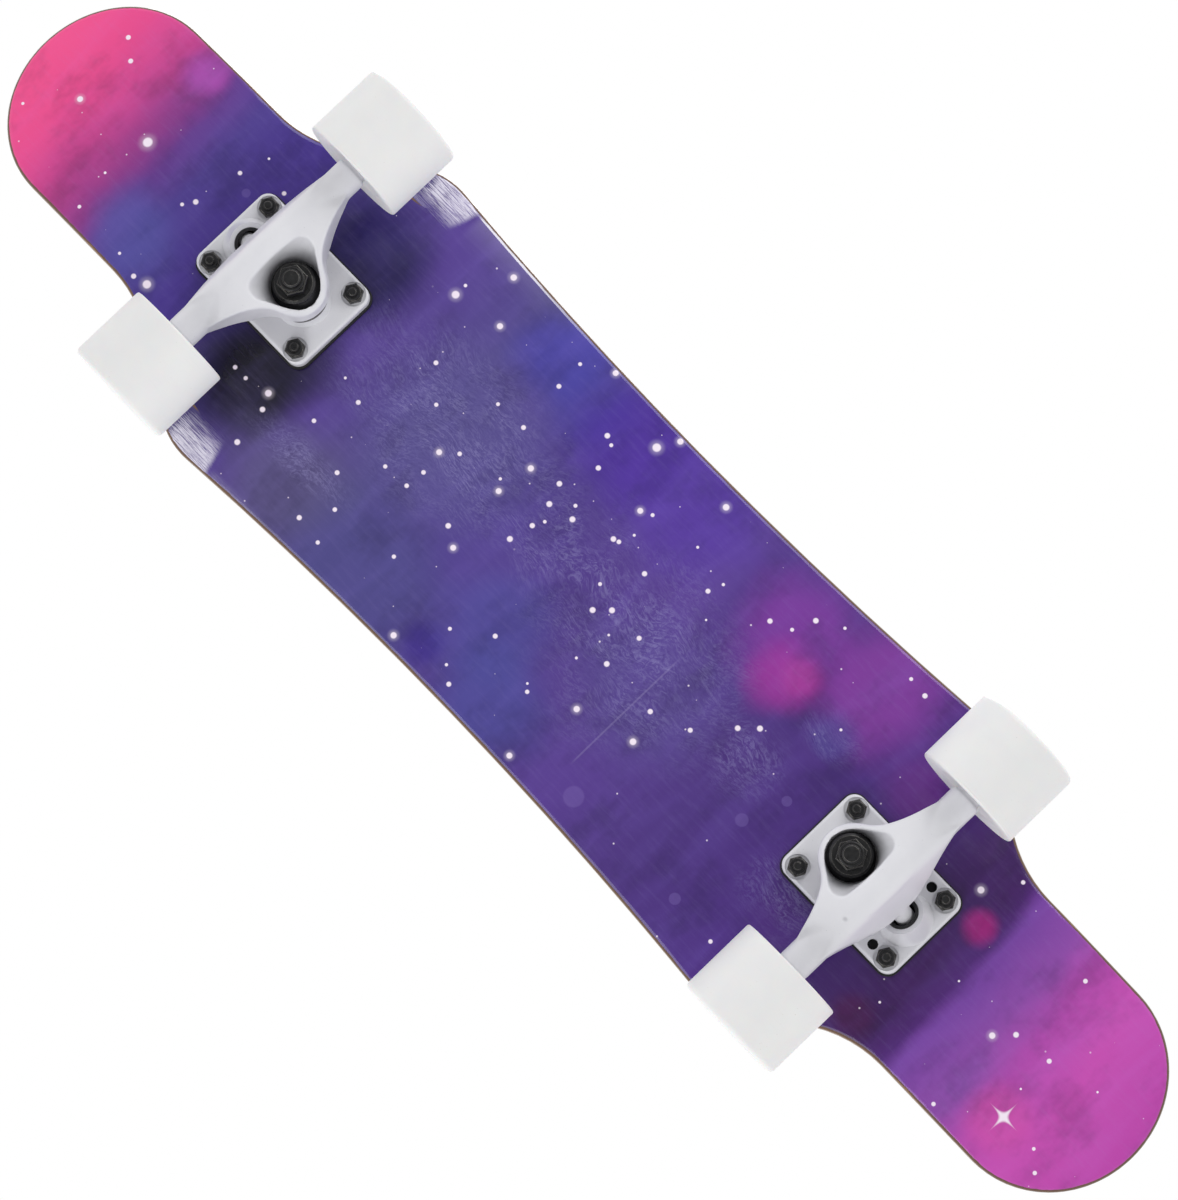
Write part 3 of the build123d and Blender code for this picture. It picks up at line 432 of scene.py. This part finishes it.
def rubbed_print(paint, flat, bent, crackle, wobble, color):
    """Ink rubbed down to a pale crackle over the grain."""
    hatch = paint.noise(760, 3, (0.10, 1.0, 0), source=bent, roughness=0.6)
    rubbed = 0.0
    for rub_x, rub_y, rub_long, rub_wide in PRINT_RUBS:
        part = paint.vector("SUBTRACT", flat, (rub_x * MM, rub_y * MM, 0))
        part = paint.vector("MULTIPLY", part, (1 / (rub_long * MM), 1 / (rub_wide * MM), 0))
        part = paint.times(paint.vector("LENGTH", part, (0, 0, 0)), wobble)
        rubbed = paint.math("MAXIMUM", rubbed, paint.step(part, *RUB_FADE))
    crackled = paint.step(crackle, 0.44, 0.62, 0.0, 0.6)
    hatched = paint.step(hatch, 0.5, 0.72, 0.0, 0.4)
    patchy = paint.step(paint.noise(48, 3, (0.6, 1.2, 0)), 0.34, 0.6, 0.25, 1.0)
    pale = paint.times(paint.math("ADD", crackled, hatched), patchy, rubbed, 0.5)
    color = paint.mix(pale, color, "9c96cc")
    dark_line = paint.step(crackle, 0.42, 0.30, 0.0, 0.35)
    color = paint.mix(paint.times(dark_line, rubbed), color, "2c2058")
    faint = paint.noise(380, 4, (0.12, 1.0, 0), roughness=0.7)
    return paint.mix(paint.step(faint, 0.45, 0.75, 0.0, 0.045), color, "a898dc")


def long_scratch(paint, x, y, color):
    """One thin scratch across the deck."""
    beside = paint.math("ABSOLUTE", paint.math("SUBTRACT", x, SCRATCH[0] * MM))
    beyond = paint.math("ABSOLUTE", paint.math("SUBTRACT", y, SCRATCH[1] * MM))
    width = paint.step(beside, *[value * MM for value in SCRATCH_WIDTH])
    length = paint.step(beyond, *[value * MM for value in SCRATCH_LENGTH])
    return paint.mix(paint.times(width, length, 0.14), color, "c0b4e4")


def star_glow(paint, x, y, flat):
    """Brightness of the dust of tiny stars, the stars and the sparkle."""
    distance, random = paint.cells(DUST_SCALE, flat=True, source=flat)
    red, green, _ = paint.axes(random)
    size = paint.times(red, DUST_SIZE)
    dust = paint.step(distance, size, paint.times(size, 0.4))
    glow = paint.times(dust, paint.step(green, *DUST_SHARE), DUST_STRENGTH)
    for star_x, star_y, radius in PRINT_STARS:
        away = paint.away(flat, star_x, star_y)
        star = paint.step(away, radius * STAR_EDGE * MM, radius * STAR_CORE * MM)
        if radius > HALO_FROM:
            halo = paint.step(away, radius * STAR_HALO * MM, radius * STAR_CORE * MM, 0.0, HALO_STRENGTH)
            star = paint.math("MAXIMUM", star, halo)
        glow = paint.math("MAXIMUM", glow, star)
    across = paint.math("ABSOLUTE", paint.math("SUBTRACT", x, SPARKLE[0] * MM))
    beside = paint.math("ABSOLUTE", paint.math("SUBTRACT", y, SPARKLE[1] * MM))
    thick = SPARKLE_ARM * MM
    arms = paint.times(paint.math("ADD", across, thick), paint.math("ADD", beside, thick))
    arms = paint.step(arms, *[value * MM * MM for value in SPARKLE_FADE])
    reach = paint.step(paint.away(flat, *SPARKLE), *[value * MM for value in SPARKLE_LENGTH])
    return paint.math("MAXIMUM", glow, paint.times(arms, reach))


def painted_well_highlights(paint, x, y, flat, color):
    """Painted highlights: pale glint streaks in the rear wheel wells, and a soft glint along the left rail.
    Also gives the stretch along the rails where the rail highlights are painted.
    """
    start_x, end_x, start_y, full_y = WELL_HIGHLIGHT
    off_middle = paint.math("ABSOLUTE", y)
    highlight_streaks = paint.noise(1500, 4, (0.05, 1.0, 0), source=flat, roughness=0.75)
    fray = paint.sway(highlight_streaks, WELL_FRAY)
    crease = paint.math("ADD", x, WELL_SLANT * full_y)
    crease = paint.math("MULTIPLY_ADD", off_middle, -WELL_SLANT, crease)
    crease = paint.math("MULTIPLY_ADD", fray, 0.3, crease)
    painted_well_highlight = paint.times(
        paint.step(paint.math("ADD", x, fray), start_x, start_x + WELL_START_FADE),
        paint.step(crease, end_x + WELL_CREASE[0], end_x + WELL_CREASE[1], 1.0, 0.0),
        paint.step(paint.math("MULTIPLY_ADD", fray, 0.5, off_middle), start_y, full_y),
        paint.step(highlight_streaks, 0.38, 0.56, 0.2, 1.0),
        0.9,
    )
    # painted highlight: pale streaks in the wheel wells that stand for the lacquer's glint
    color = paint.mix(painted_well_highlight, color, "ece8f6")
    gone, full, start = RAIL_HIGHLIGHT
    rail_highlight_span = paint.times(paint.step(x, end_x, start), paint.step(x, gone, full))
    # painted highlight: a soft pale band along the left rail
    left_rail_highlight = paint.times(
        rail_highlight_span,
        paint.step(y, full_y, LEFT_RAIL_EDGE, 0.0, 0.5),
        paint.step(highlight_streaks, 0.4, 0.6, 0.3, 1.0),
    )
    return paint.mix(left_rail_highlight, color, "c9c6dc"), rail_highlight_span


def ply_edge(paint, x, y, z):
    """Seven layers of maple that follow the pressed shape."""
    kick = paint.math("SUBTRACT", paint.math("ABSOLUTE", x), KICK_START)
    kick = paint.math("MAXIMUM", paint.times(kick, KICK_SLOPE), 0.0)
    side = paint.math("MAXIMUM", paint.math("SUBTRACT", paint.math("ABSOLUTE", y), FLAT_HALF), 0.0)
    side = paint.times(paint.math("POWER", side, 2.0), 0.5 / CONCAVE_RADIUS)
    height = paint.math("SUBTRACT", z, paint.math("ADD", kick, side))
    per_ply = PLIES / DECK_THICKNESS
    layer = paint.math("MULTIPLY_ADD", height, per_ply, PLY_COUNT_START - DECK_TOP * per_ply)
    within = paint.math("FRACT", layer)
    odd = paint.math("PINGPONG", paint.math("FLOOR", layer), 1.0)
    fibre = paint.noise(900, 3, (0.12, 0.12, 1.5), roughness=0.6)
    pores = paint.noise(2600, 2, (0.5, 0.5, 1.0))
    wood = paint.mix(fibre, "6e4a30", "94704a")
    cross = paint.mix(pores, "4a301e", "735236")
    wood = paint.mix(odd, wood, cross)
    glue = paint.math("MAXIMUM", paint.step(within, 0.1, 0.03), paint.step(within, 0.9, 0.97))
    return paint.mix(paint.times(glue, 0.5), wood, "4a2f1c")


def deck_paint():
    """Maple with a printed underside: night-sky colours, stars, worn places, and painted highlights in the
    rear wheel wells and along the rails.
    """
    paint = Paint("deck_print", roughness=0.3)
    x, y, z = paint.axes()
    flat = paint.join(x, y, 0.0)
    wobble = paint.math("MULTIPLY_ADD", paint.noise(22, 3, (1, 1, 0)), 0.8, 0.6)
    bend = paint.noise(12, 2, (1, 1, 0))
    bent_x = paint.math("MULTIPLY_ADD", bend, 0.03, x)
    bent_y = paint.math("MULTIPLY_ADD", bend, 0.05, y)
    bent = paint.join(bent_x, bent_y, 0.0)
    crackle = paint.noise(520, 5, (0.42, 1.0, 0), source=bent, roughness=0.75, distortion=1.4)

    color = colour_bands(paint, x, y)
    color = clouds(paint, flat, wobble, color)
    color = rubbed_print(paint, flat, bent, crackle, wobble, color)
    color = long_scratch(paint, x, y, color)
    color = paint.mix(star_glow(paint, x, y, flat), color, "fbeefc")
    color, rail_highlight_span = painted_well_highlights(paint, x, y, flat, color)

    _, _, up = paint.axes(paint.normal)
    # painted highlight: a thin bright line on the rounding of the right rail, picked out by the face slope
    right_rail_highlight = paint.times(
        rail_highlight_span, paint.step(up, *ROUNDING), paint.step(y, *RIGHT_RAIL, 0.0, 0.85)
    )
    color = paint.mix(right_rail_highlight, color, "eceaf4")
    rough_edge = paint.sway(paint.noise(160, 3), PRINT_EDGE_ROUGH)
    printed = paint.step(paint.math("ADD", up, rough_edge), *PRINT_EDGE)
    paint.set("Base Color", paint.mix(printed, ply_edge(paint, x, y, z), color))
    scratch = paint.noise(420, 3, (0.05, 1.0, 1.0), roughness=0.7)
    lacquer = paint.ramp(scratch, [(0.35, "484848"), (0.7, "606060")])
    paint.set("Roughness", paint.mix(printed, "8c8c8c", lacquer))
    paint.set("Coat Weight", 0.7)
    paint.set("Coat Roughness", 0.14)
    paint.set("Specular IOR Level", 0.12)
    fine = paint.bump(crackle, 0.06 * MM)
    paint.bump(scratch, 0.05 * MM, under=fine)
    return paint.material


def grip_paint():
    """Black grit in a binder, with a few bright grains and a film of dust."""
    paint = Paint("grip_tape", roughness=0.9)
    distance, random = paint.cells(1900)
    red, green, blue = paint.axes(random)
    grit = paint.step(distance, 0.7, 0.1)
    coarse = paint.noise(700, 2)
    color = paint.mix(red, "0a0a0b", "2a2a2d")
    color = paint.mix(paint.times(paint.step(green, 0.93, 0.97), grit), color, "b4b4bc")
    dust = paint.noise(18, 4, roughness=0.7)
    color = paint.mix(paint.step(dust, 0.5, 0.8, 0.0, 0.12), color, "77716b")
    paint.set("Base Color", color)
    paint.set("Roughness", paint.math("MULTIPLY_ADD", blue, -0.4, 0.95))
    under = paint.bump(coarse, 0.3 * MM, 0.6)
    paint.bump(grit, 0.35 * MM, under=under)
    return paint.material


# ---------------------------------------------------------------- cast and moulded pieces
def evaluated_copy(source, name, *modifiers):
    """New object with a node's shape after modifiers, each (type, {setting: value})."""
    piece = bpy.data.objects.new(name, source.data.copy())
    piece.matrix_world = source.matrix_world
    bpy.context.collection.objects.link(piece)
    for kind, settings in modifiers:
        modifier = piece.modifiers.new(kind, kind)
        for setting, value in settings.items():
            setattr(modifier, setting, value)
    bpy.context.view_layer.update()
    graph = bpy.context.evaluated_depsgraph_get()
    mesh = bpy.data.meshes.new_from_object(piece.evaluated_get(graph))
    piece.modifiers.clear()
    piece.data = mesh
    mesh.polygons.foreach_set("use_smooth", [True] * len(mesh.polygons))
    return piece


def cast_hanger(end):
    """The hanger with the soft fillets of a sand casting where its webs, ring and beam meet."""
    remesh = ("REMESH", {"mode": "VOXEL", "voxel_size": CASTING_VOXEL, "use_smooth_shade": True})
    soften = ("SMOOTH", {"factor": SMOOTHING, "iterations": CASTING_PASSES})
    node = f"{end}_hanger"
    piece = evaluated_copy(frame["nodes"][node], f"{end}_cast_hanger", remesh, soften)
    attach(piece, f"{end}_hanger_body")
    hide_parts(node)
    return piece


def soft_bushing(end, side):
    """A bushing between the kingpin's washer and the hanger's ring, remeshed and smoothed."""
    node = f"{end}_{side}_bushing"
    remesh = ("REMESH", {"mode": "VOXEL", "voxel_size": BUSHING_VOXEL, "use_smooth_shade": True})
    soften = ("SMOOTH", {"factor": SMOOTHING, "iterations": BUSHING_PASSES})
    piece = evaluated_copy(frame["nodes"][node], f"{end}_{side}_rubber", remesh, soften)
    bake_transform(piece)
    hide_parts(node)
    return piece


# ---------------------------------------------------------------- metals, rubber and urethane
def casting_paint():
    """White powder coat over a sand casting."""
    paint = Paint("white_casting", roughness=0.34, Coat_Weight=0.25, Coat_Roughness=0.2)
    cloud = paint.noise(45, 3)
    speck, _ = paint.cells(240)
    color = paint.mix(cloud, "dcdce2", "e8e8ec")
    pit = paint.step(speck, 0.07, 0.02, 0.0, 0.4)
    x, y, z = paint.axes()
    flat = paint.join(x, y, 0.0)
    dimple = paint.step(paint.away(flat, *DIMPLE), DIMPLE_RADIUS * MM, DIMPLE_CORE * MM)
    dimple = paint.times(dimple, paint.step(z, *DIMPLE_HEIGHTS))
    thin = paint.step(paint.noise(130, 4, roughness=0.75), 0.66, 0.78, 0.0, 0.25)
    color = paint.mix(thin, color, "c3c3cc")
    color = paint.mix(pit, color, "9a9aa2")
    # painted shade: the dimple's hollow is painted darker, besides being bumped in
    color = paint.mix(paint.times(dimple, 0.35), color, "8c8c96")
    paint.set("Base Color", color)
    paint.set("Roughness", paint.step(cloud, 0.3, 0.7, 0.28, 0.42))
    peel = paint.noise(900, 2)
    wave = paint.noise(170, 3)
    under = paint.bump(wave, 0.18 * MM, 0.7)
    under = paint.bump(paint.math("SUBTRACT", 1.0, dimple), 0.4 * MM, under=under)
    paint.bump(peel, 0.04 * MM, 0.8, under=under)
    return paint.material


def hardware_paint():
    """Black oxide steel, rubbed bright on its edges."""
    paint = Paint("black_hardware", roughness=0.36, metallic=0.9)
    rounded, edge = paint.edges(EDGE_ROUND)
    cloud = paint.noise(420, 4, roughness=0.65)
    fine = paint.noise(2600, 2)
    color = paint.mix(cloud, "242425", "4a4a4b")
    rubbed = paint.step(paint.noise(300, 5, roughness=0.8), 0.6, 0.74, 0.0, 0.5)
    color = paint.mix(rubbed, color, "77736b")
    worn = paint.times(edge, paint.step(cloud, 0.25, 0.6, 0.3, 0.9))
    color = paint.mix(worn, color, "a09c94")
    paint.set("Base Color", color)
    paint.set("Roughness", paint.step(cloud, 0.3, 0.7, 0.26, 0.46))
    paint.bump(fine, FINE_BUMP, under=rounded)
    return paint.material


def bright_paint():
    """Zinc-plated steel with fine turning marks round the axle."""
    paint = Paint("bright_steel", roughness=0.3, metallic=1.0)
    rounded, edge = paint.edges(EDGE_ROUND)
    turning = paint.noise(5200, 2, (0.15, 1.0, 0.15))
    cloud = paint.noise(220, 3)
    color = paint.mix(cloud, "a4a6ad", "cfcecb")
    paint.set("Base Color", paint.mix(paint.times(edge, 0.6), color, "eeeeec"))
    paint.set("Roughness", paint.step(cloud, 0.3, 0.75, 0.2, 0.42))
    paint.bump(turning, FINE_BUMP, under=rounded)
    return paint.material


def bearing_paint():
    """Ground and polished bearing steel with a smear of oil."""
    paint = Paint("bearing_steel", roughness=0.12, metallic=1.0)
    smear = paint.noise(300, 3)
    paint.set("Base Color", paint.mix(smear, "c8cad0", "e6e6e6"))
    paint.set("Roughness", paint.step(smear, 0.3, 0.8, 0.08, 0.26))
    return paint.material


def cage_paint():
    """Pressed steel of the ball cages under a film of grease."""
    paint = Paint("cage_steel", roughness=0.35, metallic=1.0)
    film = paint.noise(500, 3)
    paint.set("Base Color", paint.mix(film, "9a927c", "c2bba6"))
    paint.bump(film, FINE_BUMP)
    return paint.material


def shield_paint():
    """Dark shields of the bearings."""
    paint = Paint("shield_steel", roughness=0.4, metallic=0.7)
    film = paint.noise(700, 3)
    paint.set("Base Color", paint.mix(film, "2a2a2e", "4a4a50"))
    paint.set("Roughness", paint.step(film, 0.3, 0.7, 0.3, 0.5))
    return paint.material


def urethane_paint():
    """White cast urethane with faint grinding lines and a little dust."""
    paint = Paint("white_urethane", roughness=0.4, Subsurface_Weight=0.12, Subsurface_Scale=0.003)
    cloud = paint.noise(60, 3)
    lines = paint.noise(1500, 3, (0.05, 1.0, 0.05), roughness=0.7)
    color = paint.mix(cloud, "e6e6e8", "eeeeec")
    speck, _ = paint.cells(330)
    dust = paint.times(paint.step(speck, 0.1, 0.03), paint.step(cloud, 0.5, 0.7, 0.1, 0.7))
    color = paint.mix(dust, color, "b9b2a6")
    color = paint.mix(paint.step(lines, 0.6, 0.8, 0.0, 0.12), color, "c9c6c0")
    paint.set("Base Color", color)
    paint.set("Roughness", paint.step(lines, 0.3, 0.7, 0.34, 0.5))
    paint.bump(lines, FINE_BUMP, 0.8)
    return paint.material


def rubber_paint(name, low, high, roughness):
    """Black rubber or plastic between two shades."""
    paint = Paint(name, roughness=roughness)
    cloud = paint.noise(260, 4, roughness=0.7)
    fine = paint.noise(1800, 2)
    paint.set("Base Color", paint.mix(cloud, low, high))
    paint.set("Roughness", paint.step(cloud, 0.3, 0.8, roughness - 0.08, roughness + 0.12))
    paint.bump(fine, 0.05 * MM, 0.8)
    return paint.material


def coat(piece, slot):
    """Gives a piece the material of a slot, and no other."""
    piece.data.materials.clear()
    piece.data.materials.append(paints[slot])


paints = {
    "maple_print": deck_paint(),
    "grip": grip_paint(),
    "rubber_black": rubber_paint("rubber_black", "0c0c0d", "222224", 0.7),
    "white_casting": casting_paint(),
    "black_hardware": hardware_paint(),
    "bushing_black": rubber_paint("bushing_black", "101012", "26262a", 0.42),
    "pivot_plastic": rubber_paint("pivot_plastic", "08080a", "1a1a1e", 0.5),
    "bright_steel": bright_paint(),
    "white_urethane": urethane_paint(),
    "bearing_steel": bearing_paint(),
    "cage_steel": cage_paint(),
    "shield_steel": shield_paint(),
}
for subpart in frame["record"]["subparts"]:
    coat(frame["nodes"][subpart["node"]], subpart["material_slot"])

for truck_end in ("front", "rear"):
    coat(cast_hanger(truck_end), "white_casting")
    for bushing_side in ("boardside", "roadside"):
        coat(soft_bushing(truck_end, bushing_side), "bushing_black")

# ---------------------------------------------------------------- stage
def area_light(name, place, size, power):
    """Soft rectangular light that faces the board and isn't seen itself."""
    data = bpy.data.lights.new(name, "AREA")
    data.shape = "RECTANGLE"
    data.size, data.size_y = size
    data.energy = power
    light = bpy.data.objects.new(name, data)
    light.location = place
    light.rotation_euler = (Vector(LIGHT_TARGET) - Vector(place)).to_track_quat("-Z", "Y").to_euler()
    light.visible_camera = False
    bpy.context.collection.objects.link(light)


def make_floor():
    """Pale floor under the wheels. From below it is clear, so that the underside shows."""
    mesh = bpy.data.meshes.new("floor")
    corners = [(FLOOR_REACH * x, FLOOR_REACH * y, 0) for x, y in ((-1, -1), (1, -1), (1, 1), (-1, 1))]
    mesh.from_pydata(corners, [], [(0, 1, 2, 3)])
    floor = bpy.data.objects.new("floor", mesh)
    bpy.context.collection.objects.link(floor)
    floor.visible_shadow = False
    floor.visible_glossy = False
    floor.visible_diffuse = False
    material = bpy.data.materials.new("floor")
    material.use_nodes = True
    tree = material.node_tree
    diffuse = tree.nodes["Principled BSDF"]
    diffuse.inputs["Base Color"].default_value = FLOOR_COLOR
    diffuse.inputs["Roughness"].default_value = FLOOR_ROUGHNESS
    clear = tree.nodes.new("ShaderNodeBsdfTransparent")
    side = tree.nodes.new("ShaderNodeNewGeometry")
    choose = tree.nodes.new("ShaderNodeMixShader")
    tree.links.new(side.outputs["Backfacing"], choose.inputs[0])
    tree.links.new(diffuse.outputs[0], choose.inputs[1])
    tree.links.new(clear.outputs[0], choose.inputs[2])
    tree.links.new(choose.outputs[0], tree.nodes["Material Output"].inputs["Surface"])
    mesh.materials.append(material)


def make_world():
    """White studio round and above, greyer straight below, so that the lacquer isn't hazed."""
    world = bpy.data.worlds.new("studio")
    world.use_nodes = True
    tree = world.node_tree
    coordinates = tree.nodes.new("ShaderNodeTexCoord")
    split = tree.nodes.new("ShaderNodeSeparateXYZ")
    fade = tree.nodes.new("ShaderNodeMapRange")
    fade.interpolation_type = "SMOOTHSTEP"
    tree.links.new(coordinates.outputs["Generated"], split.inputs[0])
    tree.links.new(split.outputs["Z"], fade.inputs[0])
    for index, value in enumerate((*SKY_FADE, LOW_SKY, 1.0), start=1):
        fade.inputs[index].default_value = value
    tree.links.new(fade.outputs[0], tree.nodes["Background"].inputs["Color"])
    bpy.context.scene.world = world


make_floor()
make_world()
for name, place, size, power in STUDIO_LIGHTS:
    area_light(name, place, size, power)

camera_data = bpy.data.cameras.new("camera")
camera_data.lens = CAMERA_LENS
camera_data.sensor_fit = "AUTO"
camera_data.sensor_width = SENSOR
camera_data.clip_start, camera_data.clip_end = CAMERA_CLIP
camera = bpy.data.objects.new("camera", camera_data)
forward = CAMERA_FORWARD.normalized()
right = (CAMERA_RIGHT - forward * CAMERA_RIGHT.dot(forward)).normalized()
up = right.cross(forward)
turn = Matrix((right, up, -forward)).transposed().to_4x4()
camera.matrix_world = Matrix.Translation(CAMERA_PLACE) @ turn
bpy.context.collection.objects.link(camera)
bpy.context.scene.camera = camera
bpy.context.scene.view_settings.view_transform = "Standard"
